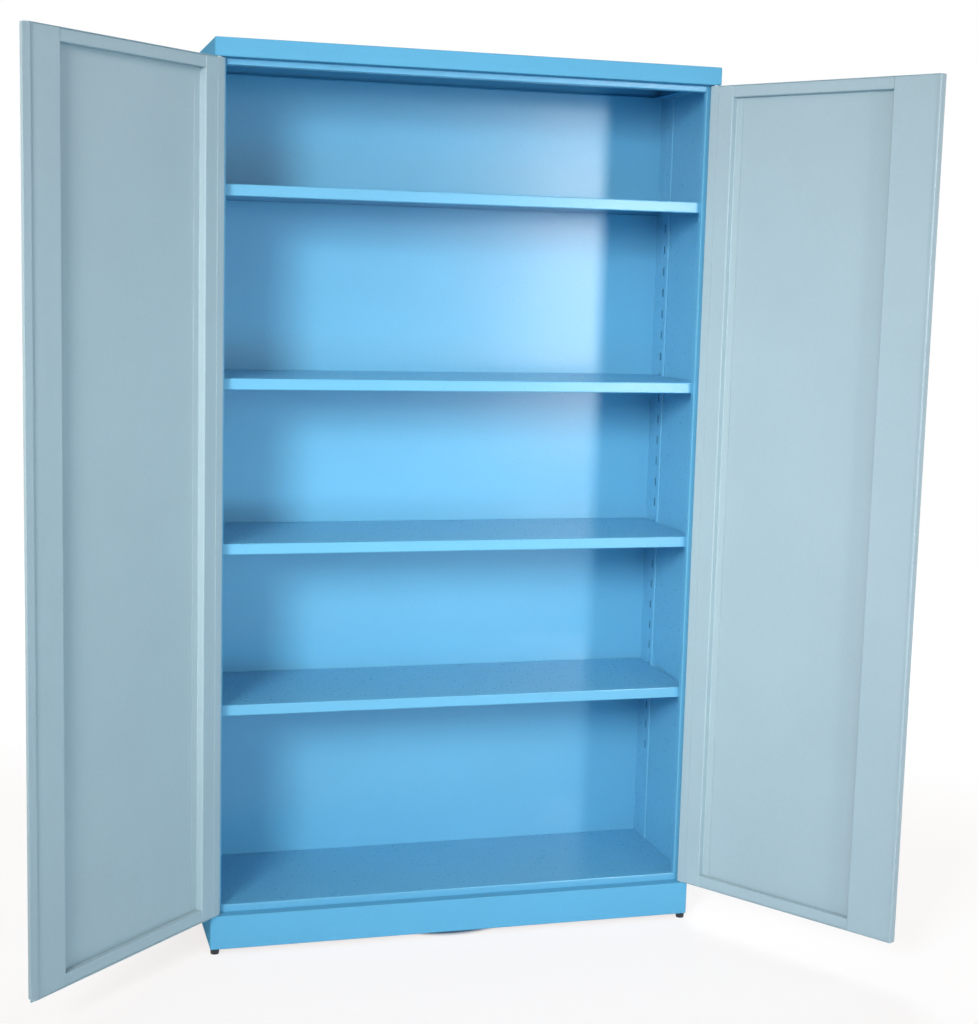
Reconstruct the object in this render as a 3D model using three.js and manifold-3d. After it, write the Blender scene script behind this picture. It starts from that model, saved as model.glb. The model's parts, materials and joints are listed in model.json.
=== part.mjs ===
// Two-door steel tool cabinet with four adjustable shelves, standing with both doors open.
// Millimetres. +X is to the right seen from the front, +Y to the back, +Z up.
// Paired pieces are drawn for one side and mirrored for the other.
// Each door is drawn shut, in a group on its pivot axis, and that group is turned open.
import * as THREE from "three";
import { mergeVertices } from "three/addons/utils/BufferGeometryUtils.js";
import Module from "manifold-3d";

const wasm = await Module();
wasm.setup();

// Carcass
const cabinetWidth = 1100;
const cabinetDepth = 370;
const cabinetHeight = 1930;
const capHeight = 38;
const plinthHeight = 74.5;
const bodySheet = 1.2;
const bendRadius = 1;
const cornerRadius = 4;
const edgeRadius = 2.5;
const frontFlange = 44;
const rimFlange = 24;
const jambWidth = 26;
const jambReturn = 15;
const jambBendRadius = 1.6;
const jambClearance = 4;
const sideTopFlange = 10;
const rearFlange = 20;
const backInset = 17;
const headerHeight = 13.5;
const headerDepth = 22;
const floorLip = 16.5;

// Shelves and what they hang on
const uprightWidth = 40;
const uprightDepth = 4;
const frontUprightInset = 52;
const rearUprightInset = 62;
const slotPitch = 50;
const firstSlotRise = 235;
const topSlotMargin = 230;
const slotHeight = 18;
const slotWidth = 8;
const shelfSlotShares = { bottom: 0.15, lower: 0.41, upper: 0.67, top: 0.96 };
const shelfRise = 4;
const shelfLip = 24;
const shelfReturn = 12;
const shelfSetback = 16;
const shelfRearGap = 3;
const shelfEndGap = 2;
const shelfSideLip = 130;
const clipWidth = 6.5;
const clipReach = 16;
const clipLedgeWidth = 18;
const clipLedgeThickness = 1.5;
const clipTipHeight = 2;
const clipToeWidth = 1.5;
const clipDrop = 12;
const hookThickness = 1.8;
const hookDrop = 5.5;

// Doors
const doorThickness = 20;
const doorSheet = 1.2;
const doorBendRadius = 1.2;
const doorGap = 2;
const doorSideGap = 1;
const doorMiddleGap = 2;
const leftDoorAngle = 136;
const rightDoorAngle = 123.5;
const hingeReturn = 22;
const freeReturn = 5;
const hingeStileWidth = 36;
const hingeStileFoot = 17;
const leftFreeStileWidth = 78;
const rightFreeStileWidth = 101;
const stileFoot = 12;
const stileLap = 10;
const railHeight = 24;
const railFoot = 10;
const railLap = 8;
const stopStripReach = 14;
const stopStripThickness = 1.5;
const stopStripInset = 2;

// Pivot pins
const pinInset = 9;
const pinDepth = 10;
const pinRadius = 4;
const pinCollarRadius = 7;
const pinHeadHeight = 3;
const pinReach = 14;

// Lock on the right door
const handleHeight = 1000;
const spindleRadius = 5;
const spindleTail = 1.5;
const hubRadius = 12;
const leverLength = 118;
const leverWidth = 20;
const leverThickness = 8;
const leverStandoff = 15;
const leverEdge = 2;
const rosetteWidth = 36;
const rosetteHeight = 110;
const rosetteThickness = 3;
const rosetteCorner = 8;
const rosetteEdge = 1;
const camThickness = 2;
const camRim = 5;
const camGap = 2;
const studCircleRadius = 16;
const studRadius = 2.5;
const studReach = 0.5;
const rodWidth = 12;
const rodThickness = 4;
const rodDepth = 6;
const rodRecess = 0.6;
const yokeWall = 2.6;
const yokeSlack = 0.8;
const guideWall = 5;
const guideHeight = 12;
const guideCover = 2.2;
const guideInset = 60;

// Feet
const footHeight = 11;
const footRadius = 9;
const footTopRadius = 10;
const footInset = 11;
const footStudRadius = 3;
const footStudReach = 4;

// Fits
const touchGap = 0.3;
const runningGap = 0.4;
const rodSlotGap = 0.8;
const cutOverrun = 5;
const mergeDistance = 0.0001;
const bendSteps = 3;
const cornerSteps = 4;
const roundSteps = 24;

// Levels and planes that follow from the sizes above
const halfWidth = cabinetWidth / 2;
const plinthTop = footHeight + plinthHeight;
const capBottom = cabinetHeight - capHeight;
const frameBottom = plinthTop + touchGap;
const frameTop = capBottom - touchGap;
const jambFront = doorThickness + jambClearance;
const jambEdge = halfWidth - jambWidth;
const wallInside = halfWidth - bodySheet;
const backFront = cabinetDepth - backInset;
const floorTop = plinthTop + floorLip;
const frontUprightPlace = jambFront + frontUprightInset;
const rearUprightPlace = backFront - rearUprightInset;
const firstSlotHeight = floorTop + firstSlotRise;
const slotCount = 1 + Math.floor((frameTop - topSlotMargin - firstSlotHeight) / slotPitch);
const uprightFace = wallInside - uprightDepth;
const uprightTop = frameTop - bodySheet - touchGap;
const shelfFront = jambFront + shelfSetback;
const shelfBack = backFront - shelfRearGap;
const shelfHalf = uprightFace - shelfEndGap;
const doorBottom = plinthTop + doorGap;
const doorTop = capBottom - doorGap;
const doorWidth = halfWidth - doorSideGap - doorMiddleGap / 2;
const stileBottom = doorBottom + doorSheet + touchGap;
const stileTop = doorTop - doorSheet - touchGap;
const skinInside = doorSheet + touchGap;
const stileFace = doorThickness - doorSheet - touchGap;
const railFace = stileFace - doorSheet - touchGap;
const hingeStileEdge = hingeReturn + touchGap + hingeStileWidth;
const freeStileEnd = doorWidth - freeReturn - touchGap;
const freeStileReach = doorWidth - doorSheet - doorBendRadius - touchGap;
const pinPlace = halfWidth - pinInset;
const pinFromEdge = pinInset - doorSideGap;
const lockLine = freeStileEnd - rightFreeStileWidth / 2;
const lockPlace = halfWidth - doorSideGap - lockLine;
const studOffset = studCircleRadius * Math.SQRT1_2;
const rodOffset = (studCircleRadius + studOffset) / 2;
const camFront = rodDepth + rodThickness + camGap;

const bodyPaint = { color: 0x62a9d6, roughness: 0.45, metalness: 0.1 };
const doorPaint = { color: 0xa6b4b8, roughness: 0.45, metalness: 0.1 };
const zincPlate = { color: 0xb4b8ba, roughness: 0.35, metalness: 0.9 };
const darkPlastic = { color: 0x26282b, roughness: 0.55, metalness: 0 };

// Solids: three.js draws every form, and the boolean library joins and cuts them

function toSolid(geometry) {
  geometry.deleteAttribute("normal");
  geometry.deleteAttribute("uv");
  const merged = mergeVertices(geometry, mergeDistance);
  const vertProperties = new Float32Array(merged.attributes.position.array);
  const triVerts = new Uint32Array(merged.index.array);
  return new wasm.Manifold(new wasm.Mesh({ numProp: 3, vertProperties, triVerts }));
}

function toGeometry(solid) {
  const mesh = solid.getMesh();
  const geometry = new THREE.BufferGeometry();
  geometry.setAttribute("position", new THREE.BufferAttribute(new Float32Array(mesh.vertProperties), 3));
  geometry.setIndex(new THREE.BufferAttribute(new Uint32Array(mesh.triVerts), 1));
  return geometry;
}

function joined(solids) {
  return solids.reduce((whole, solid) => whole.add(solid));
}

function block([left, front, bottom], [right, back, top]) {
  const geometry = new THREE.BoxGeometry(right - left, back - front, top - bottom);
  geometry.translate((left + right) / 2, (front + back) / 2, (bottom + top) / 2);
  return toSolid(geometry);
}

// A section drawn in X and Y, standing from bottom to top
function standing(section, bottom, top) {
  const geometry = new THREE.ExtrudeGeometry(section, { depth: top - bottom, bevelEnabled: false });
  geometry.translate(0, 0, bottom);
  return toSolid(geometry);
}

// A section drawn in Y and Z, run along X
function lengthwise(section, left, right) {
  const geometry = new THREE.ExtrudeGeometry(section, { depth: right - left, bevelEnabled: false });
  const turn = new THREE.Matrix4();
  turn.makeBasis(new THREE.Vector3(0, 1, 0), new THREE.Vector3(0, 0, 1), new THREE.Vector3(1, 0, 0));
  geometry.applyMatrix4(turn);
  geometry.translate(left, 0, 0);
  return toSolid(geometry);
}

// A section drawn in X and Z, run along Y
function crosswise(section, front, back) {
  const geometry = new THREE.ExtrudeGeometry(section, { depth: back - front, bevelEnabled: false });
  geometry.rotateX(Math.PI / 2);
  geometry.translate(0, back, 0);
  return toSolid(geometry);
}

function standingRod(radius, x, y, bottom, top) {
  const geometry = new THREE.CylinderGeometry(radius, radius, top - bottom, roundSteps);
  geometry.rotateX(Math.PI / 2);
  geometry.translate(x, y, (bottom + top) / 2);
  return toSolid(geometry);
}

function lyingRod(radius, x, z, front, back) {
  const geometry = new THREE.CylinderGeometry(radius, radius, back - front, roundSteps);
  geometry.translate(x, (front + back) / 2, z);
  return toSolid(geometry);
}

// A turned piece on a standing axis: pairs of radius and height from bottom to top
function turned(profile, x, y) {
  const points = profile.map(([radius, height]) => new THREE.Vector2(radius, height));
  const geometry = new THREE.LatheGeometry(points, roundSteps);
  geometry.rotateX(Math.PI / 2);
  geometry.translate(x, y, 0);
  return toSolid(geometry);
}

function roundedRectangle(width, height, radius) {
  const x = width / 2 - radius;
  const y = height / 2 - radius;
  const shape = new THREE.Shape();
  shape.absarc(x, y, radius, 0, Math.PI / 2);
  shape.absarc(-x, y, radius, Math.PI / 2, Math.PI);
  shape.absarc(-x, -y, radius, Math.PI, Math.PI * 1.5);
  shape.absarc(x, -y, radius, Math.PI * 1.5, Math.PI * 2);
  shape.closePath();
  return shape;
}

// A flat body with rounded corners, and with its edges softened above and below
function softPlate(width, height, thickness, corner, edge) {
  const shape = roundedRectangle(width - 2 * edge, height - 2 * edge, corner - edge);
  const geometry = new THREE.ExtrudeGeometry(shape, {
    depth: thickness - 2 * edge,
    curveSegments: cornerSteps,
    bevelEnabled: true,
    bevelThickness: edge,
    bevelSize: edge,
    bevelSegments: bendSteps,
  });
  geometry.translate(0, 0, edge);
  return geometry;
}

function leftOf(direction) {
  return new THREE.Vector2(-direction.y, direction.x);
}

// Both faces of a folded sheet. The points follow the outer face, the sheet lies on their left,
// and a third value on a point is that fold's own inside radius.
function foldedFaces(points, thickness, insideRadius) {
  const corners = points.map(([x, y]) => new THREE.Vector2(x, y));
  const runs = corners.slice(1).map((corner, index) => corner.clone().sub(corners[index]).normalize());
  const outer = [];
  const inner = [];
  corners.forEach((corner, index) => {
    const arriving = runs[Math.max(index - 1, 0)];
    const leaving = runs[Math.min(index, runs.length - 1)];
    const turn = Math.atan2(arriving.cross(leaving), arriving.dot(leaving));
    if (turn === 0) {
      outer.push(corner);
      inner.push(corner.clone().addScaledVector(leftOf(arriving), thickness));
      return;
    }
    const side = Math.sign(turn);
    const foldRadius = points[index][2] ?? insideRadius;
    const outerRadius = side > 0 ? foldRadius + thickness : foldRadius;
    const innerRadius = side > 0 ? foldRadius : foldRadius + thickness;
    const centre = corner.clone();
    centre.addScaledVector(arriving, -outerRadius * Math.tan(Math.abs(turn) / 2));
    centre.addScaledVector(leftOf(arriving), side * outerRadius);
    for (let step = 0; step <= bendSteps; step += 1) {
      const spoke = leftOf(arriving).multiplyScalar(-side);
      spoke.rotateAround(new THREE.Vector2(), (turn * step) / bendSteps);
      outer.push(centre.clone().addScaledVector(spoke, outerRadius));
      inner.push(centre.clone().addScaledVector(spoke, innerRadius));
    }
  });
  return { outer, inner };
}

function foldedSheet(points, thickness, insideRadius) {
  const { outer, inner } = foldedFaces(points, thickness, insideRadius);
  return new THREE.Shape(outer.concat(inner.reverse()));
}

function bodyFold(points) {
  return foldedSheet(points, bodySheet, bendRadius);
}

function doorFold(points) {
  return foldedSheet(points, doorSheet, doorBendRadius);
}

function mirrored(geometry) {
  geometry.scale(-1, 1, 1);
  const index = geometry.index.array;
  for (let corner = 0; corner < index.length; corner += 3) {
    [index[corner], index[corner + 1]] = [index[corner + 1], index[corner]];
  }
  return geometry;
}

function addMesh(parent, name, geometry, paint) {
  const mesh = new THREE.Mesh(geometry, new THREE.MeshStandardMaterial(paint));
  mesh.name = name;
  parent.add(mesh);
}

// Carcass: cap and plinth are folded hollow shells over the whole outline

const cabinet = new THREE.Group();
const sides = { left: -1, right: 1 };

function addToCarcass(name, solid, paint) {
  addMesh(cabinet, name, toGeometry(solid), paint);
}

// Drawn on the right, mirrored to the left
function addPair(name, draw, paint) {
  for (const [side, sign] of Object.entries(sides)) {
    const geometry = toGeometry(draw());
    addMesh(cabinet, `${side}_${name}`, sign > 0 ? geometry : mirrored(geometry), paint);
  }
}

function hollowShell(bottom, top) {
  const outer = softPlate(cabinetWidth, cabinetDepth, top - bottom, cornerRadius, edgeRadius);
  outer.translate(0, cabinetDepth / 2, bottom);
  const inner = block(
    [-wallInside, bodySheet, bottom + bodySheet],
    [wallInside, cabinetDepth - bodySheet, top - bodySheet],
  );
  return toSolid(outer).subtract(inner);
}

function openingInside(front, bottom, top) {
  const half = halfWidth - rimFlange;
  return block([-half, front, bottom], [half, cabinetDepth - rimFlange, top]);
}

function pinHoles(bottom, top) {
  const holeRadius = pinRadius + runningGap;
  const places = [-pinPlace, pinPlace];
  return joined(places.map((place) => standingRod(holeRadius, place, pinDepth, bottom, top)));
}

// The slot that a lock rod enters once the right door is shut
function rodSlot(place, bottom, top) {
  const half = rodWidth / 2 + rodSlotGap;
  return block(
    [place - half, rodDepth - rodSlotGap, bottom],
    [place + half, rodDepth + rodThickness + rodSlotGap, top],
  );
}

function topCap() {
  const cut = [capBottom - cutOverrun, capBottom + bodySheet + cutOverrun];
  return hollowShell(capBottom, cabinetHeight)
    .subtract(openingInside(frontFlange, ...cut))
    .subtract(pinHoles(...cut))
    .subtract(rodSlot(lockPlace - rodOffset, ...cut));
}

const footPlaces = [];
for (const [side, sign] of Object.entries(sides)) {
  const x = sign * (halfWidth - footInset);
  footPlaces.push({ name: `front_${side}_foot`, x, y: footInset });
  footPlaces.push({ name: `rear_${side}_foot`, x, y: cabinetDepth - footInset });
}

function plinth() {
  const topCut = [plinthTop - bodySheet - cutOverrun, plinthTop + cutOverrun];
  const bottomCut = [footHeight - cutOverrun, footHeight + bodySheet + cutOverrun];
  const studHole = footStudRadius + touchGap;
  const studHoles = footPlaces.map(({ x, y }) => standingRod(studHole, x, y, ...bottomCut));
  return hollowShell(footHeight, plinthTop)
    .subtract(openingInside(frontFlange, ...topCut))
    .subtract(openingInside(rimFlange, ...bottomCut))
    .subtract(joined(studHoles))
    .subtract(pinHoles(...topCut))
    .subtract(rodSlot(lockPlace + rodOffset, ...topCut));
}

function foot({ x, y }) {
  const profile = [
    [0, 0],
    [footRadius, 0],
    [footTopRadius, footHeight - touchGap],
    [footStudRadius, footHeight - touchGap],
    [footStudRadius, footHeight + bodySheet + footStudReach],
    [0, footHeight + bodySheet + footStudReach],
  ];
  return turned(profile, x, y);
}

// The side is folded into the jamb in front and a flange behind, and at the top it turns in
// under the cap. The jamb's return stops above the floor, so that the threshold passes behind.
function sidePanel() {
  const section = bodyFold([
    [jambEdge, jambFront + jambReturn],
    [jambEdge, jambFront, jambBendRadius],
    [halfWidth, jambFront],
    [halfWidth, cabinetDepth],
    [halfWidth - rearFlange, cabinetDepth],
  ]);
  const topFlange = block(
    [halfWidth - sideTopFlange, jambFront + bodySheet / 2, frameTop - bodySheet],
    [halfWidth - bodySheet / 2, backFront - touchGap, frameTop],
  );
  const returnNotch = block(
    [jambEdge - cutOverrun, jambFront + bodySheet, frameBottom - cutOverrun],
    [jambEdge + bodySheet + jambBendRadius, jambFront + jambReturn + cutOverrun, floorTop + touchGap],
  );
  return standing(section, frameBottom, frameTop).add(topFlange).subtract(returnNotch);
}

function backPanel() {
  const half = wallInside - touchGap;
  const flangeEnd = cabinetDepth - bodySheet - bendRadius;
  const tray = block([-half, backFront, frameBottom], [half, flangeEnd, frameTop]);
  const hollow = block(
    [-half + bodySheet, backFront + bodySheet, frameBottom + bodySheet],
    [half - bodySheet, cabinetDepth + cutOverrun, frameTop - bodySheet],
  );
  return tray.subtract(hollow);
}

function headerRail() {
  const bottom = capBottom - headerHeight;
  const half = jambEdge - touchGap;
  const section = bodyFold([
    [jambFront + headerDepth, frameTop],
    [jambFront, frameTop],
    [jambFront, bottom],
    [jambFront + headerDepth, bottom],
  ]);
  return lengthwise(section, -half, half);
}

// The floor is a tray turned over, and its front wall is the threshold, behind the jambs
function floorPanel() {
  const front = jambFront + bodySheet + touchGap;
  const back = backFront - touchGap;
  const half = wallInside - bendRadius;
  const facesDownTo = (bottom) => {
    const points = [
      [back, bottom],
      [back, floorTop],
      [front, floorTop],
      [front, bottom],
    ];
    return foldedFaces(points, bodySheet, bendRadius);
  };
  const outside = new THREE.Shape(facesDownTo(frameBottom).outer);
  const inside = new THREE.Shape(facesDownTo(frameBottom - cutOverrun).inner);
  const hollow = lengthwise(inside, -half + bodySheet, half - bodySheet);
  return lengthwise(outside, -half, half).subtract(hollow);
}

// Slotted uprights: shallow channels, open to the wall, with a column of hook slots

const uprightPlaces = { front: frontUprightPlace, rear: rearUprightPlace };

function slottedUpright(place) {
  const front = place - uprightWidth / 2;
  const back = place + uprightWidth / 2;
  const section = bodyFold([
    [wallInside - touchGap, back],
    [uprightFace, back],
    [uprightFace, front],
    [wallInside - touchGap, front],
  ]);
  const slots = Array.from({ length: slotCount }, (_, number) => {
    const height = firstSlotHeight + number * slotPitch;
    return block(
      [uprightFace - cutOverrun, place - slotWidth / 2, height - slotHeight / 2],
      [wallInside, place + slotWidth / 2, height + slotHeight / 2],
    );
  });
  return standing(section, floorTop + touchGap, uprightTop).subtract(joined(slots));
}

// Shelf: folded down at front and back with returns, and between the clips at its ends
function shelf(top) {
  const bottom = top - shelfLip;
  const section = bodyFold([
    [shelfBack - shelfReturn, bottom],
    [shelfBack, bottom],
    [shelfBack, top],
    [shelfFront, top],
    [shelfFront, bottom],
    [shelfFront + shelfReturn, bottom],
  ]);
  const middle = (frontUprightPlace + rearUprightPlace) / 2;
  const endLips = [-shelfHalf, shelfHalf - bodySheet].map((left) =>
    block(
      [left, middle - shelfSideLip / 2, bottom],
      [left + bodySheet, middle + shelfSideLip / 2, top - bodySheet / 2],
    ),
  );
  return joined([lengthwise(section, -shelfHalf, shelfHalf), ...endLips]);
}

// Shelf clip: a stamped hook through the slot, and a ledge that the shelf rests on
function shelfClip(slotLevel, place) {
  const ledgeTop = slotLevel + shelfRise - bodySheet - touchGap;
  const seat = slotLevel - slotHeight / 2 + touchGap;
  const hookFront = uprightFace + bodySheet + touchGap;
  const hookBack = hookFront + hookThickness;
  const faceSide = uprightFace - touchGap;
  const hook = new THREE.Shape(
    [
      [hookBack, ledgeTop],
      [uprightFace - clipReach, ledgeTop],
      [uprightFace - clipReach, ledgeTop - clipTipHeight],
      [faceSide - clipToeWidth, slotLevel - clipDrop],
      [faceSide, slotLevel - clipDrop],
      [faceSide, seat],
      [hookFront, seat],
      [hookFront, seat - hookDrop],
      [hookBack, seat - hookDrop],
    ].map(([x, z]) => new THREE.Vector2(x, z)),
  );
  const ledge = block(
    [uprightFace - clipReach, place - clipLedgeWidth / 2, ledgeTop - clipLedgeThickness],
    [faceSide, place + clipLedgeWidth / 2, ledgeTop],
  );
  return crosswise(hook, place - clipWidth / 2, place + clipWidth / 2).add(ledge);
}

// A pivot pin with its collar in the door gap and its head behind the flange.
// The sign is 1 at the top, where the pin points down into the door, and -1 at the bottom.
function pivotPin(place, doorEnd, sign) {
  const flangeInside = doorEnd + sign * (doorGap + bodySheet);
  const profile = [
    [0, doorEnd - sign * pinReach],
    [pinRadius, doorEnd - sign * pinReach],
    [pinRadius, doorEnd + sign * touchGap],
    [pinCollarRadius, doorEnd + sign * touchGap],
    [pinCollarRadius, doorEnd + sign * (doorGap - touchGap)],
    [pinRadius, doorEnd + sign * (doorGap - touchGap)],
    [pinRadius, flangeInside + sign * touchGap],
    [pinCollarRadius, flangeInside + sign * touchGap],
    [pinCollarRadius, flangeInside + sign * (touchGap + pinHeadHeight)],
    [0, flangeInside + sign * (touchGap + pinHeadHeight)],
  ];
  return turned(sign > 0 ? profile : profile.reverse(), place, pinDepth);
}

addToCarcass("top_cap", topCap(), bodyPaint);
addToCarcass("plinth", plinth(), bodyPaint);
addPair("side_panel", sidePanel, bodyPaint);
addToCarcass("back_panel", backPanel(), bodyPaint);
addToCarcass("floor_panel", floorPanel(), bodyPaint);
addToCarcass("header_rail", headerRail(), bodyPaint);
for (const [where, place] of Object.entries(uprightPlaces)) {
  addPair(`${where}_upright`, () => slottedUpright(place), bodyPaint);
}
for (const [level, share] of Object.entries(shelfSlotShares)) {
  const slotLevel = firstSlotHeight + Math.round(share * slotCount) * slotPitch;
  addToCarcass(`${level}_shelf`, shelf(slotLevel + shelfRise), bodyPaint);
  for (const [where, place] of Object.entries(uprightPlaces)) {
    addPair(`${where}_clip_${level}_shelf`, () => shelfClip(slotLevel, place), zincPlate);
  }
}
for (const [side, sign] of Object.entries(sides)) {
  addToCarcass(`${side}_top_pin`, pivotPin(sign * pinPlace, doorTop, 1), zincPlate);
  addToCarcass(`${side}_bottom_pin`, pivotPin(sign * pinPlace, doorBottom, -1), zincPlate);
}
for (const place of footPlaces) {
  addToCarcass(place.name, foot(place), darkPlastic);
}

// Doors: X runs from the hinge edge to the free edge, Y from the outer face inwards

function addDoor(side, angle) {
  const door = new THREE.Group();
  door.position.set(sides[side] * pinPlace, pinDepth, 0);
  door.rotation.z = THREE.MathUtils.degToRad(sides[side] * angle);
  cabinet.add(door);
  return door;
}

function addToDoor(door, side, name, solid, paint) {
  const geometry = toGeometry(solid);
  geometry.translate(-pinFromEdge, -pinDepth, 0);
  addMesh(door, name, side === "right" ? mirrored(geometry) : geometry, paint);
}

function doorSkin() {
  const faces = foldedFaces(
    [
      [hingeReturn, doorThickness],
      [0, doorThickness],
      [0, 0],
      [doorWidth, 0],
      [doorWidth, doorThickness],
      [doorWidth - freeReturn, doorThickness],
    ],
    doorSheet,
    doorBendRadius,
  );
  const wall = new THREE.Shape(faces.outer.concat(faces.inner.toReversed()));
  const end = new THREE.Shape(faces.outer);
  const pinHole = standingRod(
    pinRadius + runningGap,
    pinFromEdge,
    pinDepth,
    doorBottom - cutOverrun,
    doorTop + cutOverrun,
  );
  return standing(wall, doorBottom, doorTop)
    .add(standing(end, doorBottom, doorBottom + doorSheet))
    .add(standing(end, doorTop - doorSheet, doorTop))
    .subtract(pinHole);
}

function lockedDoorSkin() {
  const topCut = [doorTop - doorSheet - cutOverrun, doorTop + cutOverrun];
  const bottomCut = [doorBottom - cutOverrun, doorBottom + doorSheet + cutOverrun];
  const spindleHole = spindleRadius + runningGap;
  return doorSkin()
    .subtract(rodSlot(lockLine + rodOffset, ...topCut))
    .subtract(rodSlot(lockLine - rodOffset, ...bottomCut))
    .subtract(lyingRod(spindleHole, lockLine, handleHeight, -cutOverrun, doorSheet + cutOverrun));
}

// Inside the skin the stiles lie under its returns, and the rails' ends lie under the stiles.
// There the stile keeps only its face: its wall and foot are cut away between near and far.
function withoutRailEnds(stile, near, far) {
  const railSpace = railHeight + touchGap;
  const ends = [
    [stileBottom - cutOverrun, stileBottom + railSpace],
    [stileTop - railSpace, stileTop + cutOverrun],
  ].map(([bottom, top]) => block([near, 0, bottom], [far, stileFace - doorSheet, top]));
  return stile.subtract(joined(ends));
}

function hingeStile() {
  const section = doorFold([
    [hingeStileEdge + hingeStileFoot, skinInside + doorSheet],
    [hingeStileEdge, skinInside + doorSheet],
    [hingeStileEdge, stileFace],
    [hingeReturn - stileLap, stileFace],
  ]);
  return withoutRailEnds(
    standing(section, stileBottom, stileTop),
    hingeStileEdge - railLap - touchGap,
    hingeStileEdge + hingeStileFoot + cutOverrun,
  );
}

function freeStile(width) {
  const edge = freeStileEnd - width;
  const section = doorFold([
    [freeStileReach, stileFace],
    [edge, stileFace],
    [edge, skinInside],
    [edge + stileFoot, skinInside],
  ]);
  return withoutRailEnds(
    standing(section, stileBottom, stileTop),
    edge - cutOverrun,
    edge + stileFoot + cutOverrun,
  );
}

function acrossDoor(section, freeStileWidth) {
  const freeStileEdge = freeStileEnd - freeStileWidth;
  return lengthwise(section, hingeStileEdge - railLap, freeStileEdge + railLap);
}

function topRail(freeStileWidth) {
  const edge = stileTop - railHeight;
  const section = doorFold([
    [skinInside, edge + railFoot],
    [skinInside, edge],
    [railFace, edge],
    [railFace, stileTop],
  ]);
  return acrossDoor(section, freeStileWidth);
}

function bottomRail(freeStileWidth) {
  const edge = stileBottom + railHeight;
  const section = doorFold([
    [railFace, stileBottom],
    [railFace, edge],
    [skinInside, edge],
    [skinInside, edge - railFoot],
  ]);
  return acrossDoor(section, freeStileWidth);
}

// Flat strip on the left door that lies behind the right door's edge when both are shut
function stopStrip() {
  const seat = doorThickness + touchGap;
  return block(
    [doorWidth - freeReturn, seat, doorBottom + stopStripInset],
    [doorWidth + stopStripReach, seat + stopStripThickness, doorTop - stopStripInset],
  );
}

// Lock: the handle's spindle turns a cam, whose two studs drive the rods up and down

const rosetteFront = -touchGap - rosetteThickness;
const hubBack = rosetteFront - touchGap;
const leverBack = hubBack - leverStandoff;
const leverFront = leverBack - leverThickness;

// Turns a plate drawn flat so that it faces forward, with its back at the given depth
function facingForward(plate, x, z, back) {
  plate.rotateX(Math.PI / 2);
  plate.translate(x, back, z);
  return toSolid(plate);
}

function lockHandle() {
  const spindleEnd = camFront + camThickness + spindleTail;
  const lever = softPlate(leverLength, leverWidth, leverThickness, leverWidth / 2, leverEdge);
  const leverCentre = lockLine - (leverLength - leverWidth) / 2;
  return joined([
    lyingRod(spindleRadius, lockLine, handleHeight, leverBack, spindleEnd),
    lyingRod(hubRadius, lockLine, handleHeight, leverFront, hubBack),
    facingForward(lever, leverCentre, handleHeight, leverBack),
  ]);
}

function handleRosette() {
  const plate = softPlate(rosetteWidth, rosetteHeight, rosetteThickness, rosetteCorner, rosetteEdge);
  const hole = spindleRadius + runningGap;
  return facingForward(plate, lockLine, handleHeight, -touchGap).subtract(
    lyingRod(hole, lockLine, handleHeight, rosetteFront - cutOverrun, cutOverrun),
  );
}

function lockCam() {
  const camBack = camFront + camThickness;
  const studs = [1, -1].map((sign) =>
    lyingRod(
      studRadius,
      lockLine + sign * studOffset,
      handleHeight - sign * studOffset,
      rodDepth - studReach,
      camBack,
    ),
  );
  const hole = spindleRadius + touchGap;
  return lyingRod(studCircleRadius + camRim, lockLine, handleHeight, camFront, camBack)
    .subtract(lyingRod(hole, lockLine, handleHeight, camFront - cutOverrun, camBack + cutOverrun))
    .add(joined(studs));
}

// The sign is 1 for the upper rod and -1 for the lower one, which is the same piece turned over
function lockRod(sign) {
  const piece = ([near, low], [far, high], front, back) => {
    const across = [lockLine + sign * near, lockLine + sign * far];
    const upwards = [handleHeight + sign * low, handleHeight + sign * high];
    return block(
      [Math.min(...across), front, Math.min(...upwards)],
      [Math.max(...across), back, Math.max(...upwards)],
    );
  };
  const slotNear = studOffset - studRadius - runningGap;
  const slotFar = studCircleRadius + studRadius + runningGap;
  const slotHalf = studRadius + yokeSlack;
  const yokeHalf = slotHalf + yokeWall;
  const reach = sign > 0 ? doorTop - handleHeight : handleHeight - doorBottom;
  const rodBack = rodDepth + rodThickness;
  const yoke = piece(
    [slotNear - yokeWall, -studOffset - yokeHalf],
    [slotFar + yokeWall, -studOffset + yokeHalf],
    rodDepth,
    rodBack,
  );
  const rod = piece(
    [rodOffset - rodWidth / 2, -studOffset],
    [rodOffset + rodWidth / 2, reach - rodRecess],
    rodDepth,
    rodBack,
  );
  const slot = piece(
    [slotNear, -studOffset - slotHalf],
    [slotFar, -studOffset + slotHalf],
    rodDepth - cutOverrun,
    rodBack + cutOverrun,
  );
  return yoke.add(rod).subtract(slot);
}

function rodGuide(sign) {
  const line = lockLine + sign * rodOffset;
  const level = sign > 0 ? doorTop - guideInset : doorBottom + guideInset;
  const slotHalf = rodWidth / 2 + runningGap;
  const slotBack = rodDepth + rodThickness + runningGap;
  const half = slotHalf + guideWall;
  const body = block(
    [line - half, skinInside, level - guideHeight / 2],
    [line + half, slotBack + guideCover, level + guideHeight / 2],
  );
  const slot = block(
    [line - slotHalf, rodDepth - runningGap, level - guideHeight / 2 - cutOverrun],
    [line + slotHalf, slotBack, level + guideHeight / 2 + cutOverrun],
  );
  return body.subtract(slot);
}

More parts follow.
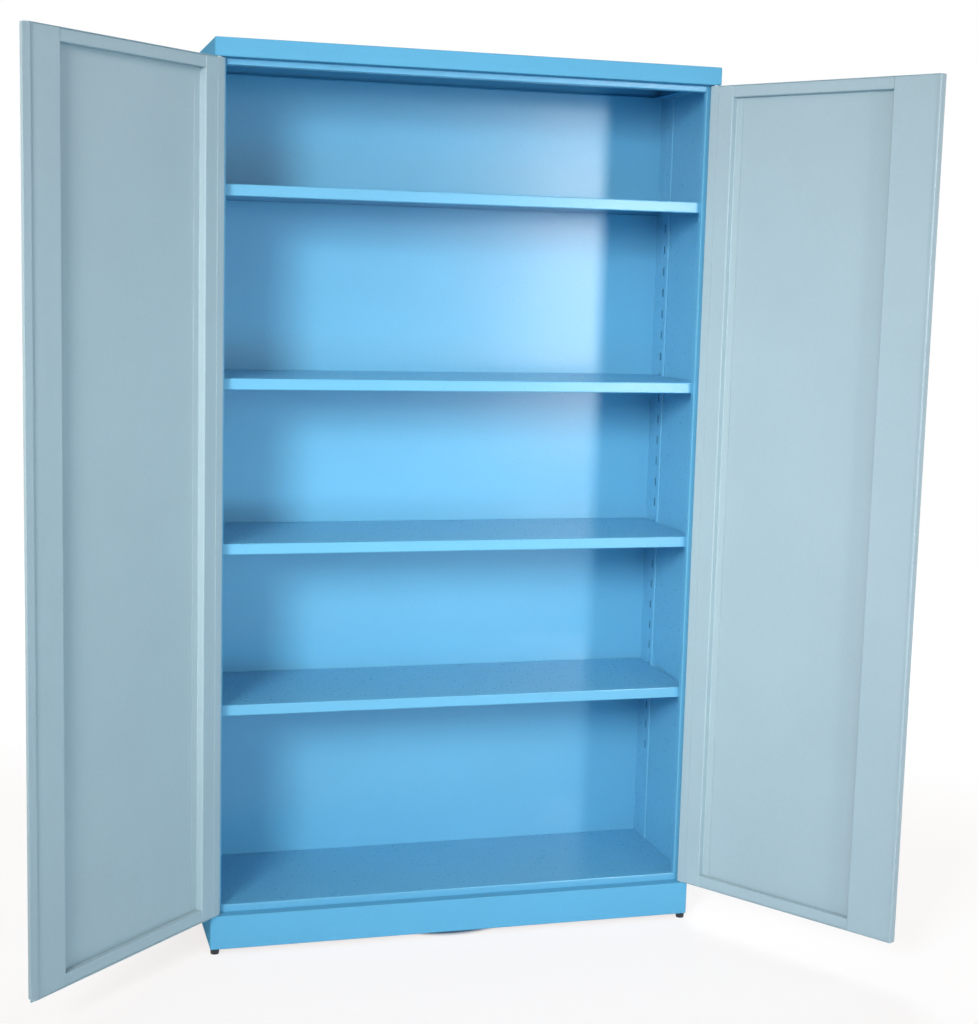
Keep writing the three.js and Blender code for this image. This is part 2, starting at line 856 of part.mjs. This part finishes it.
const leftDoor = addDoor("left", leftDoorAngle);
addToDoor(leftDoor, "left", "left_door_skin", doorSkin(), doorPaint);
addToDoor(leftDoor, "left", "left_door_hinge_stile", hingeStile(), doorPaint);
addToDoor(leftDoor, "left", "left_door_free_stile", freeStile(leftFreeStileWidth), doorPaint);
addToDoor(leftDoor, "left", "left_door_top_rail", topRail(leftFreeStileWidth), doorPaint);
addToDoor(leftDoor, "left", "left_door_bottom_rail", bottomRail(leftFreeStileWidth), doorPaint);
addToDoor(leftDoor, "left", "left_door_stop_strip", stopStrip(), doorPaint);

const rightDoor = addDoor("right", rightDoorAngle);
addToDoor(rightDoor, "right", "right_door_skin", lockedDoorSkin(), doorPaint);
addToDoor(rightDoor, "right", "right_door_hinge_stile", hingeStile(), doorPaint);
addToDoor(rightDoor, "right", "right_door_free_stile", freeStile(rightFreeStileWidth), doorPaint);
addToDoor(rightDoor, "right", "right_door_top_rail", topRail(rightFreeStileWidth), doorPaint);
addToDoor(rightDoor, "right", "right_door_bottom_rail", bottomRail(rightFreeStileWidth), doorPaint);
addToDoor(rightDoor, "right", "lock_rosette", handleRosette(), darkPlastic);
addToDoor(rightDoor, "right", "lock_handle", lockHandle(), darkPlastic);
addToDoor(rightDoor, "right", "lock_cam", lockCam(), zincPlate);
addToDoor(rightDoor, "right", "lock_upper_rod", lockRod(1), zincPlate);
addToDoor(rightDoor, "right", "lock_lower_rod", lockRod(-1), zincPlate);
addToDoor(rightDoor, "right", "lock_upper_rod_guide", rodGuide(1), darkPlastic);
addToDoor(rightDoor, "right", "lock_lower_rod_guide", rodGuide(-1), darkPlastic);

// The whole stands centred on the origin, feet at zero, doors as wide open as in the photograph
const bounds = new THREE.Box3().setFromObject(cabinet, true);
const middle = bounds.getCenter(new THREE.Vector3());
cabinet.position.set(-middle.x, -middle.y, -bounds.min.z);

export default cabinet;
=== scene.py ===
"""Surfaces, small fixings and studio of a two-door steel tool cabinet.

The cabinet's sheet metal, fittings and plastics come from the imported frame. This add-on paints,
plates and moulds them, adds the weld marks and the screws, and sets floor, light and camera.
Everything is in metres, in the frame's own axes: +Z up, and the cabinet opens towards -Y.
"""

import json
import math

import bmesh
import bpy
from mathutils import Matrix, Vector


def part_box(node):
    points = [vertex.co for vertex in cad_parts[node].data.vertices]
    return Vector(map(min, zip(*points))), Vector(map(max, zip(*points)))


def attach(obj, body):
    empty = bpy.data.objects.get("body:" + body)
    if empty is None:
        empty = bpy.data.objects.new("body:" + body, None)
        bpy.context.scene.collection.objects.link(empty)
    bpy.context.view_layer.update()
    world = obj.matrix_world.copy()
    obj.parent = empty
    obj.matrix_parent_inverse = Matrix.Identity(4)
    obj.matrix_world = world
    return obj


bl_info = {
    "name": "Steel Tool Cabinet",
    "version": (1, 0, 0),
    "blender": (4, 5, 0),
    "location": "View3D > Sidebar > Cabinet",
    "description": "Paints a steel tool cabinet, adds weld marks and screws, and sets its studio",
    "category": "Object",
}

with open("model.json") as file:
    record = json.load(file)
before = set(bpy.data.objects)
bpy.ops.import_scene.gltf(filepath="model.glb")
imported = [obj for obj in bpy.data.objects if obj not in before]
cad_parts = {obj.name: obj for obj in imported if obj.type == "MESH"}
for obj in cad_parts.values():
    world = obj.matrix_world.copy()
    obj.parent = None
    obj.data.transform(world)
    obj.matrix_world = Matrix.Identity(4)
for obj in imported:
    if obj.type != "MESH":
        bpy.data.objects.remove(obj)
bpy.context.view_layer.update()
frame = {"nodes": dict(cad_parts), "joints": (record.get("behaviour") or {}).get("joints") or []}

SHELL = ("top_cap", "plinth")
PANELS = (
    "left_side_panel",
    "right_side_panel",
    "back_panel",
    "floor_panel",
    "header_rail",
)
DARK_PLASTICS = ("lock_handle", "lock_rosette", "lock_upper_rod_guide", "lock_lower_rod_guide")
LOCK_METALS = ("lock_cam", "lock_upper_rod", "lock_lower_rod")
WELD_INSET = 0.0175  # from the side panel's inner edge to its row of welds
WELD_END = 0.04  # from the panel's ends to the first and last weld
WELD_DISH = ((1, 0), (0.8, 1), (0.5, 0.4), (0, 0.2))  # shares of a mark's radius and height
SCREW_DOME = ((1, 0), (0.85, 0.2), (0.45, 0.26), (0, 0.05))  # shares of the head's radius

GLOSS_ROUGHNESS = 0.18  # of the clear gloss over the powder coat
PEAK_PAINTED_HIGHLIGHT = 0.22  # how far the painted highlight takes the grain's peaks towards a paler colour
GRAIN_UNDER_GLOSS = 0.1  # share of the grain's height that the paint below the gloss follows
GRAIN_ROUGHNESS = 0.03  # by which the peaks are smoother and the pits rougher than the rest

WHITE_SHARE = 0.6  # of the floor as it is seen; the rest is lit and keeps the shadow
WHITE_STRENGTH = 1.51  # at which the white share and the lit share make white together
NEAR_WHITE = (0.86, 0.81, 0.77, 1)  # less white where the lamps light the floor
FAR_WHITE = (1.0, 0.98, 0.96, 1)
LIT_FLOOR = (1.4, 3.2)  # distances from the plinth's middle over which the lamps' light fades
DARK_FLOOR = (0.165, 0.184)  # distances over which the shade below the cabinet ends
AMBIENT_COLOUR = (0.90, 0.95, 1.0, 1)

WARM, WHITE, BLUE = (1.0, 0.97, 0.9), (0.98, 1.0, 1.0), (0.2, 0.7, 1.0)
BEAM = math.radians(48)
ALL_AROUND = math.pi
MIDDLE = (0.05, 0.0, 1.0)
# Each lamp's place, target, width, height, watts, colour and spread.
LAMPS = {
    "key_left": ((-2.6, -3.77, 2.4), (0.15, 0.0, 0.96), 1.2, 1.2, 15.3, WHITE, BEAM),
    "window_right": ((2.05, -4.2, 1.45), (0.2, 0.2, 1.1), 0.45, 1.6, 4.6, WHITE, BEAM),
    "side_left": ((-3.6, -1.4, 3.4), MIDDLE, 1.6, 1.6, 10, WARM, ALL_AROUND),
    "side_right": ((3.45, -0.9, 3.9), MIDDLE, 1.6, 1.6, 12, WARM, ALL_AROUND),
    "low_fill": ((0.4, -4.2, 0.3), (0.05, 0.2, 0.3), 3.2, 0.6, 26, BLUE, ALL_AROUND),
    "back_light": ((1.4, 3.6, 3.6), MIDDLE, 2.0, 2.0, 90, WHITE, ALL_AROUND),
}
SENSOR_LENGTH = 36  # millimetres


def linear(red, green, blue):
    """A colour given as it is seen on screen, from 0 to 255, as the shaders take it."""
    shares = [channel / 255 for channel in (red, green, blue)]
    return tuple(
        share / 12.92 if share <= 0.04045 else ((share + 0.055) / 1.055) ** 2.4 for share in shares
    )


def shaded(colour, factor):
    return tuple(min(channel * factor, 1) for channel in colour[:3]) + (1,)


class CabinetPaintSettings(bpy.types.PropertyGroup):
    body_colour: bpy.props.FloatVectorProperty(
        name="Body Colour",
        description="Light-blue powder coat of cap, plinth, panels and shelves",
        subtype="COLOR",
        size=3,
        min=0,
        max=1,
        default=linear(105, 177, 211),
    )
    door_colour: bpy.props.FloatVectorProperty(
        name="Door Colour",
        description="Light-grey powder coat of the doors",
        subtype="COLOR",
        size=3,
        min=0,
        max=1,
        default=linear(174, 191, 196),
    )
    grain_size: bpy.props.FloatProperty(
        name="Grain Size",
        description="Distance between the bumps of the textured powder coat",
        subtype="DISTANCE",
        unit="LENGTH",
        min=0.0005,
        default=0.0065,
    )
    grain_depth: bpy.props.FloatProperty(
        name="Grain Depth",
        description="Height of the coat's bumps",
        subtype="DISTANCE",
        unit="LENGTH",
        min=0,
        default=0.0003,
    )
    ripple_size: bpy.props.FloatProperty(
        name="Ripple Size",
        description="Distance between the shallow waves of the sheet and its coat",
        subtype="DISTANCE",
        unit="LENGTH",
        min=0.01,
        default=0.11,
    )
    ripple_depth: bpy.props.FloatProperty(
        name="Ripple Depth",
        description="Height of the shallow waves",
        subtype="DISTANCE",
        unit="LENGTH",
        min=0,
        default=0.00022,
    )


class CabinetFittingSettings(bpy.types.PropertyGroup):
    zinc_colour: bpy.props.FloatVectorProperty(
        name="Zinc Colour",
        description="Zinc plating of clips, pins and lock rods",
        subtype="COLOR",
        size=3,
        min=0,
        max=1,
        default=linear(196, 200, 203),
    )
    plastic_colour: bpy.props.FloatVectorProperty(
        name="Plastic Colour",
        description="Moulded plastic of handle, rosette, rod guides and feet",
        subtype="COLOR",
        size=3,
        min=0,
        max=1,
        default=linear(40, 42, 46),
    )
    weld_radius: bpy.props.FloatProperty(
        name="Weld Radius",
        description="Radius of a spot weld's mark",
        subtype="DISTANCE",
        unit="LENGTH",
        min=0.001,
        default=0.003,
    )
    weld_height: bpy.props.FloatProperty(
        name="Weld Height",
        description="How far the rim of a spot weld's mark stands proud",
        subtype="DISTANCE",
        unit="LENGTH",
        min=0.0001,
        default=0.00012,
    )
    weld_pitch: bpy.props.FloatProperty(
        name="Weld Pitch",
        description="Distance between spot welds in a row",
        subtype="DISTANCE",
        unit="LENGTH",
        min=0.02,
        default=0.12,
    )
    screw_radius: bpy.props.FloatProperty(
        name="Screw Head Radius",
        description="Radius of the rosette's screw heads",
        subtype="DISTANCE",
        unit="LENGTH",
        min=0.001,
        default=0.0035,
    )
    screw_spread: bpy.props.FloatProperty(
        name="Screw Spread",
        description="Distance of each screw from the handle's axis",
        subtype="DISTANCE",
        unit="LENGTH",
        min=0.02,
        default=0.044,
    )


class CabinetStageSettings(bpy.types.PropertyGroup):
    floor_colour: bpy.props.FloatVectorProperty(
        name="Floor Colour",
        description="Pale floor that the cabinet stands on",
        subtype="COLOR",
        size=3,
        min=0,
        max=1,
        default=linear(214, 224, 234),
    )
    floor_size: bpy.props.FloatProperty(
        name="Floor Size",
        description="Length of the floor's sides",
        subtype="DISTANCE",
        unit="LENGTH",
        min=5,
        default=60,
    )
    ambient_strength: bpy.props.FloatProperty(
        name="Ambient Strength",
        description="Light that comes evenly from all around",
        min=0,
        default=0.39,
    )
    camera_place: bpy.props.FloatVectorProperty(
        name="Camera Place",
        description="Where the photograph was taken from",
        subtype="XYZ",
        unit="LENGTH",
        size=3,
        default=(-0.9423, -3.5974, 1.4749),
    )
    camera_turn: bpy.props.FloatVectorProperty(
        name="Camera Turn",
        description="Heading to the right of +Y, tilt upwards and roll of the camera",
        subtype="EULER",
        unit="ROTATION",
        size=3,
        default=(0.2773, -0.1358, 0.0270),
    )
    lens: bpy.props.FloatProperty(
        name="Focal Length",
        description="Focal length in millimetres on a sensor 36 mm long",
        min=10,
        default=61.67,
    )


def settings():
    scene = bpy.context.scene
    return scene.cabinet_paint, scene.cabinet_fittings, scene.cabinet_stage


def new_material(name):
    """An empty node material, its tree, its shader and the object's own coordinates."""
    material = bpy.data.materials.new(name)
    material.use_nodes = True
    tree = material.node_tree
    shader = tree.nodes["Principled BSDF"]
    coordinates = tree.nodes.new("ShaderNodeTexCoord").outputs["Object"]
    return material, tree, shader, coordinates


def noise(tree, coordinates, scale, detail, roughness, stretch=None):
    if stretch is not None:
        mapping = tree.nodes.new("ShaderNodeMapping")
        mapping.inputs["Scale"].default_value = stretch
        tree.links.new(coordinates, mapping.inputs["Vector"])
        coordinates = mapping.outputs["Vector"]
    texture = tree.nodes.new("ShaderNodeTexNoise")
    texture.inputs["Scale"].default_value = scale
    texture.inputs["Detail"].default_value = detail
    texture.inputs["Roughness"].default_value = roughness
    tree.links.new(coordinates, texture.inputs["Vector"])
    return texture.outputs["Fac"]


def between(tree, value, low, high, start=0.3, end=0.7):
    """A texture value spread over the range from low to high."""
    spread = tree.nodes.new("ShaderNodeMapRange")
    limits = {"From Min": start, "From Max": end, "To Min": low, "To Max": high}
    for socket, number in limits.items():
        spread.inputs[socket].default_value = number
    tree.links.new(value, spread.inputs["Value"])
    return spread.outputs["Result"]


def blended(tree, factor, first, second):
    mix = tree.nodes.new("ShaderNodeMix")
    mix.data_type = "RGBA"
    tree.links.new(factor, mix.inputs["Factor"])
    for socket, colour in ((6, first), (7, second)):
        if isinstance(colour, tuple):
            mix.inputs[socket].default_value = colour
        else:
            tree.links.new(colour, mix.inputs[socket])
    return mix.outputs[2]


def bumped(tree, height, depth, normal=None):
    bump = tree.nodes.new("ShaderNodeBump")
    bump.inputs["Distance"].default_value = depth
    tree.links.new(height, bump.inputs["Height"])
    if normal is not None:
        tree.links.new(normal, bump.inputs["Normal"])
    return bump.outputs["Normal"]


def powder_coat(name, colour, paint, roughness, sheen, gloss):
    """Semi-gloss powder coat: orange-peel grain with its peaks painted paler, a faint ripple,
    slight clouding.
    """
    material, tree, shader, coordinates = new_material(name)
    grain = noise(tree, coordinates, 1 / paint.grain_size, detail=1.5, roughness=0.5)
    ripple = noise(tree, coordinates, 1 / paint.ripple_size, detail=2.0, roughness=0.45)
    clouds = noise(tree, coordinates, 0.6 / paint.ripple_size, detail=3.0, roughness=0.55)
    cloudy = between(tree, clouds, 0, 1)
    clouded = blended(tree, cloudy, shaded(colour, 0.98), shaded(colour, 1.02))
    # painted highlight: the grain's raised peaks are coloured paler, as if they caught the light
    peaks_painted_lighter = blended(tree, between(tree, grain, 0, PEAK_PAINTED_HIGHLIGHT), clouded, shaded(colour, 1.12))
    tree.links.new(peaks_painted_lighter, shader.inputs["Base Color"])
    polish = between(tree, grain, roughness + GRAIN_ROUGHNESS, roughness - GRAIN_ROUGHNESS)
    tree.links.new(polish, shader.inputs["Roughness"])
    waves = bumped(tree, ripple, paint.ripple_depth)
    under = bumped(tree, grain, paint.grain_depth * GRAIN_UNDER_GLOSS, waves)
    tree.links.new(under, shader.inputs["Normal"])
    tree.links.new(bumped(tree, grain, paint.grain_depth, waves), shader.inputs["Coat Normal"])
    shader.inputs["Specular IOR Level"].default_value = sheen
    shader.inputs["Coat Weight"].default_value = gloss
    shader.inputs["Coat Roughness"].default_value = GLOSS_ROUGHNESS
    return material


def zinc_plating(colour):
    """Zinc plate: a bright metal with crystalline patches and fine rolling lines."""
    material, tree, shader, coordinates = new_material("zinc_plating")
    patches = noise(tree, coordinates, scale=90, detail=3.0, roughness=0.6)
    lines = noise(tree, coordinates, 260, detail=2.0, roughness=0.5, stretch=(1, 1, 0.06))
    tone = blended(tree, between(tree, patches, 0, 1), shaded(colour, 0.82), shaded(colour, 1.06))
    tree.links.new(tone, shader.inputs["Base Color"])
    tree.links.new(between(tree, patches, low=0.26, high=0.44), shader.inputs["Roughness"])
    tree.links.new(bumped(tree, lines, depth=0.00004), shader.inputs["Normal"])
    shader.inputs["Metallic"].default_value = 1.0
    return material


def moulded_plastic(colour):
    """Dark moulded plastic with a spark-eroded texture."""
    material, tree, shader, coordinates = new_material("moulded_plastic")
    erosion = noise(tree, coordinates, scale=1400, detail=2.0, roughness=0.6)
    wear = noise(tree, coordinates, scale=45, detail=3.0, roughness=0.6)
    tone = blended(tree, between(tree, wear, 0, 1), shaded(colour, 0.85), shaded(colour, 1.25))
    tree.links.new(tone, shader.inputs["Base Color"])
    tree.links.new(between(tree, wear, low=0.42, high=0.6), shader.inputs["Roughness"])
    tree.links.new(bumped(tree, erosion, depth=0.00005), shader.inputs["Normal"])
    shader.inputs["Specular IOR Level"].default_value = 0.45
    return material


def dress(material, names):
    """Gives each of the named nodes of the frame one material."""
    for name in names:
        node = frame["nodes"][name]
        node.data.materials.clear()
        node.data.materials.append(material)


def nodes_with(*words):
    return [name for name in frame["nodes"] if any(word in name for word in words)]


def joint_named(name):
    return next(joint for joint in frame["joints"] if joint["name"] == name)


def new_piece(name, mesh, body, material):
    shape = bpy.data.meshes.new(name)
    mesh.to_mesh(shape)
    mesh.free()
    for polygon in shape.polygons:
        polygon.use_smooth = True
    shape.materials.append(material)
    piece = bpy.data.objects.new(name, shape)
    bpy.context.scene.collection.objects.link(piece)
    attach(piece, body)
    return piece


def turned_disc(mesh, profile, place, steps=20):
    """A round form about its own +Z: pairs of radius and height, from the rim to the middle."""
    rings = []
    for radius, height in profile[:-1]:
        ring = []
        for step in range(steps):
            turn = math.tau * step / steps
            point = place @ Vector((radius * math.cos(turn), radius * math.sin(turn), height))
            ring.append(mesh.verts.new(point))
        rings.append(ring)
    middle = mesh.verts.new(place @ Vector((0, 0, profile[-1][1])))
    for lower, upper in zip(rings, rings[1:]):
        for step in range(steps):
            after = (step + 1) % steps
            mesh.faces.new((lower[step], lower[after], upper[after], upper[step]))
    for step in range(steps):
        mesh.faces.new((rings[-1][step], rings[-1][(step + 1) % steps], middle))


def facing(point, direction):
    """A place whose own +Z points in the given direction."""
    turn = Vector(direction).to_track_quat("Z", "Y").to_matrix().to_4x4()
    return Matrix.Translation(point) @ turn


def places_along(start, end, pitch):
    count = max(2, round((end - start) / pitch) + 1)
    return [start + (end - start) * step / (count - 1) for step in range(count)]


class CABINET_OT_paint_panels(bpy.types.Operator):
    """Powder-coat the cap, the plinth, the panels and the header rail"""

    bl_idname = "cabinet.paint_panels"
    bl_label = "Paint Panels"

    def execute(self, context):
        paint, _, _ = settings()
        colour = paint.body_colour
        matt = powder_coat("shell_powder_coat", colour, paint, roughness=0.45, sheen=0, gloss=0)
        dress(matt, SHELL)
        glossy = powder_coat(
            "panel_powder_coat", colour, paint, roughness=0.3, sheen=0.36, gloss=0.3
        )
        dress(glossy, PANELS)
        return {"FINISHED"}


class CABINET_OT_paint_shelving(bpy.types.Operator):
    """Powder-coat the shelves and the slotted uprights"""

    bl_idname = "cabinet.paint_shelving"
    bl_label = "Paint Shelving"

    def execute(self, context):
        paint, _, _ = settings()
        shelves = [name for name in nodes_with("_shelf") if "_clip_" not in name]
        coat = powder_coat(
            "shelf_powder_coat", paint.body_colour, paint, roughness=0.3, sheen=0.5, gloss=0.14
        )
        dress(coat, shelves + nodes_with("_upright"))
        return {"FINISHED"}


class CABINET_OT_paint_doors(bpy.types.Operator):
    """Powder-coat the door skins, stiles, rails and the stop strip"""

    bl_idname = "cabinet.paint_doors"
    bl_label = "Paint Doors"

    def execute(self, context):
        paint, _, _ = settings()
        coat = powder_coat(
            "door_powder_coat", paint.door_colour, paint, roughness=0.38, sheen=0.45, gloss=0.1
        )
        dress(coat, nodes_with("left_door_", "right_door_"))
        return {"FINISHED"}


class CABINET_OT_plate_fittings(bpy.types.Operator):
    """Zinc-plate the shelf clips, the pivot pins and the lock's metal pieces"""

    bl_idname = "cabinet.plate_fittings"
    bl_label = "Plate Fittings"

    def execute(self, context):
        _, fittings, _ = settings()
        dress(zinc_plating(fittings.zinc_colour), nodes_with("_clip_", "_pin") + list(LOCK_METALS))
        return {"FINISHED"}


class CABINET_OT_mould_plastics(bpy.types.Operator):
    """Give handle, rosette, rod guides and feet their moulded surface"""

    bl_idname = "cabinet.mould_plastics"
    bl_label = "Mould Plastics"

    def execute(self, context):
        _, fittings, _ = settings()
        plastic = moulded_plastic(fittings.plastic_colour)
        dress(plastic, list(DARK_PLASTICS) + nodes_with("_foot"))
        return {"FINISHED"}


class CABINET_OT_mark_welds(bpy.types.Operator):
    """Mark the spot welds that hold the back panel in the side panels' rear flanges"""

    bl_idname = "cabinet.mark_welds"
    bl_label = "Mark Welds"

    def execute(self, context):
        _, fittings, _ = settings()
        radius, height = fittings.weld_radius, fittings.weld_height
        dish = [(radius * out, height * rise) for out, rise in WELD_DISH]
        coat = frame["nodes"]["left_side_panel"].data.materials[0]
        for side in ("left", "right"):
            low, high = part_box(f"{side}_side_panel")
            inner = high.x - WELD_INSET if side == "left" else low.x + WELD_INSET
            mesh = bmesh.new()
            for level in places_along(low.z + WELD_END, high.z - WELD_END, fittings.weld_pitch):
                point = Vector((inner, high.y, level))
                turned_disc(mesh, dish, facing(point, (0, 1, 0)))
            new_piece(f"{side}_weld_marks", mesh, "carcass", coat)
        return {"FINISHED"}


class CABINET_OT_drive_screws(bpy.types.Operator):
    """Fix the rosette with two countersunk screws"""

    bl_idname = "cabinet.drive_screws"
    bl_label = "Drive Screws"

    def execute(self, context):
        _, fittings, _ = settings()
        handle = joint_named("handle_turn")
        outward = -Vector(handle["axis"])
        axis = Vector(handle["pos_m"])
        rosette = frame["nodes"]["lock_rosette"].data.vertices
        front = max((vertex.co - axis).dot(outward) for vertex in rosette)
        radius = fittings.screw_radius
        head = [(radius * out, radius * rise) for out, rise in SCREW_DOME]
        mesh = bmesh.new()
        for rise in (fittings.screw_spread, -fittings.screw_spread):
            point = axis + outward * front + Vector((0, 0, rise))
            turned_disc(mesh, head, facing(point, outward), steps=24)
        plating = frame["nodes"]["lock_cam"].data.materials[0]
        new_piece("rosette_screws", mesh, "right_door", plating)
        return {"FINISHED"}


def area_lamp(name, place, target, width, height, watts, colour, spread):
    """A soft lamp that faces the target; a narrow spread leaves what is far from it darker."""
    lamp = bpy.data.lights.new(name, "AREA")
    lamp.spread = spread
    lamp.shape = "RECTANGLE"
    lamp.size = width
    lamp.size_y = height
    lamp.energy = watts
    lamp.color = colour
    holder = bpy.data.objects.new(name, lamp)
    holder.matrix_world = facing(Vector(place), Vector(place) - Vector(target))
    bpy.context.scene.collection.objects.link(holder)


def where_seen(tree):
    """One for the rays of the camera, of gloss and of glass, and nought for the light itself."""
    path = tree.nodes.new("ShaderNodeLightPath")
    seen = path.outputs["Is Camera Ray"]
    for ray in ("Is Glossy Ray", "Is Transmission Ray"):
        most = tree.nodes.new("ShaderNodeMath")
        most.operation = "MAXIMUM"
        tree.links.new(seen, most.inputs[0])
        tree.links.new(path.outputs[ray], most.inputs[1])
        seen = most.outputs[0]
    return seen


class CABINET_OT_set_stage(bpy.types.Operator):
    """Lay the pale floor, set the lamps and the surroundings, and place the camera"""

    bl_idname = "cabinet.set_stage"
    bl_label = "Set Stage"

    def execute(self, context):
        _, _, stage = settings()
        self.lay_floor(stage)
        self.surround(stage)
        for name, lamp in LAMPS.items():
            area_lamp(name, *lamp)
        self.place_camera(stage)
        bpy.context.scene.view_settings.view_transform = "Standard"
        return {"FINISHED"}

    def lay_floor(self, stage):
        half = stage.floor_size / 2
        mesh = bmesh.new()
        sides = ((-half, -half), (half, -half), (half, half), (-half, half))
        mesh.faces.new([mesh.verts.new((x, y, 0)) for x, y in sides])
        shape = bpy.data.meshes.new("floor")
        mesh.to_mesh(shape)
        mesh.free()
        floor = bpy.data.objects.new("floor", shape)
        bpy.context.scene.collection.objects.link(floor)
        material, tree, shader, coordinates = new_material("pale_floor")
        shader.inputs["Base Color"].default_value = (*stage.floor_colour, 1)
        shader.inputs["Roughness"].default_value = 0.9
        shader.inputs["Specular IOR Level"].default_value = 0.0
        low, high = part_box("plinth")
        distance = tree.nodes.new("ShaderNodeVectorMath")
        distance.operation = "DISTANCE"
        distance.inputs[1].default_value = ((low.x + high.x) / 2, (low.y + high.y) / 2, 0)
        tree.links.new(coordinates, distance.inputs[0])
        away = between(tree, distance.outputs["Value"], 0, 1, *LIT_FLOOR)
        white = tree.nodes.new("ShaderNodeEmission")
        white.inputs["Strength"].default_value = WHITE_STRENGTH
        tree.links.new(blended(tree, away, NEAR_WHITE, FAR_WHITE), white.inputs["Color"])
        share = tree.nodes.new("ShaderNodeMath")
        share.operation = "MULTIPLY"
        tree.links.new(where_seen(tree), share.inputs[0])
        uncovered = between(tree, distance.outputs["Value"], 0, WHITE_SHARE, *DARK_FLOOR)
        tree.links.new(uncovered, share.inputs[1])
        mix = tree.nodes.new("ShaderNodeMixShader")
        tree.links.new(share.outputs[0], mix.inputs["Fac"])
        tree.links.new(shader.outputs["BSDF"], mix.inputs[1])
        tree.links.new(white.outputs["Emission"], mix.inputs[2])
        tree.links.new(mix.outputs["Shader"], tree.nodes["Material Output"].inputs["Surface"])
        shape.materials.append(material)

    def surround(self, stage):
        world = bpy.data.worlds.new("studio")
        bpy.context.scene.world = world
        world.use_nodes = True
        tree = world.node_tree
        ambient = tree.nodes["Background"]
        ambient.inputs["Color"].default_value = AMBIENT_COLOUR
        ambient.inputs["Strength"].default_value = stage.ambient_strength
        white = tree.nodes.new("ShaderNodeBackground")
        white.inputs["Color"].default_value = (1, 1, 1, 1)
        white.inputs["Strength"].default_value = 1.0
        mix = tree.nodes.new("ShaderNodeMixShader")
        tree.links.new(where_seen(tree), mix.inputs["Fac"])
        tree.links.new(ambient.outputs["Background"], mix.inputs[1])
        tree.links.new(white.outputs["Background"], mix.inputs[2])
        tree.links.new(mix.outputs["Shader"], tree.nodes["World Output"].inputs["Surface"])

    def place_camera(self, stage):
        heading, tilt, roll = stage.camera_turn
        level = Vector((math.sin(heading), math.cos(heading), 0))
        ahead = level * math.cos(tilt) + Vector((0, 0, math.sin(tilt)))
        across = Vector((math.cos(heading), -math.sin(heading), 0))
        upward = across.cross(ahead)
        right = across * math.cos(roll) + upward * math.sin(roll)
        top = upward * math.cos(roll) - across * math.sin(roll)
        turn = Matrix((right, top, -ahead)).transposed().to_4x4()
        lens = bpy.data.cameras.new("camera")
        lens.lens = stage.lens
        lens.sensor_width = SENSOR_LENGTH
        lens.clip_end = 200
        camera = bpy.data.objects.new("camera", lens)
        camera.matrix_world = Matrix.Translation(stage.camera_place) @ turn
        bpy.context.scene.collection.objects.link(camera)
        bpy.context.scene.camera = camera


OPERATORS = (
    CABINET_OT_paint_panels,
    CABINET_OT_paint_shelving,
    CABINET_OT_paint_doors,
    CABINET_OT_plate_fittings,
    CABINET_OT_mould_plastics,
    CABINET_OT_mark_welds,
    CABINET_OT_drive_screws,
    CABINET_OT_set_stage,
)


class CABINET_PT_panel(bpy.types.Panel):
    """The cabinet's finish, fixings and studio"""

    bl_idname = "CABINET_PT_panel"
    bl_label = "Tool Cabinet"
    bl_space_type = "VIEW_3D"
    bl_region_type = "UI"
    bl_category = "Cabinet"

    def draw(self, context):
        for group in settings():
            box = self.layout.box()
            for name in group.bl_rna.properties.keys():
                if name not in ("rna_type", "name"):
                    box.prop(group, name)
        for operator in OPERATORS:
            self.layout.operator(operator.bl_idname)


SETTINGS = {
    "cabinet_paint": CabinetPaintSettings,
    "cabinet_fittings": CabinetFittingSettings,
    "cabinet_stage": CabinetStageSettings,
}


def register():
    for group in (*SETTINGS.values(), *OPERATORS, CABINET_PT_panel):
        bpy.utils.register_class(group)
    for name, group in SETTINGS.items():
        setattr(bpy.types.Scene, name, bpy.props.PointerProperty(type=group))


def unregister():
    for name in SETTINGS:
        delattr(bpy.types.Scene, name)
    for group in reversed((*SETTINGS.values(), *OPERATORS, CABINET_PT_panel)):
        bpy.utils.unregister_class(group)


def main():
    register()
    bpy.ops.cabinet.paint_panels()
    bpy.ops.cabinet.paint_shelving()
    bpy.ops.cabinet.paint_doors()
    bpy.ops.cabinet.plate_fittings()
    bpy.ops.cabinet.mould_plastics()
    bpy.ops.cabinet.mark_welds()
    bpy.ops.cabinet.drive_screws()
    bpy.ops.cabinet.set_stage()


if __name__ == "__main__":
    main()
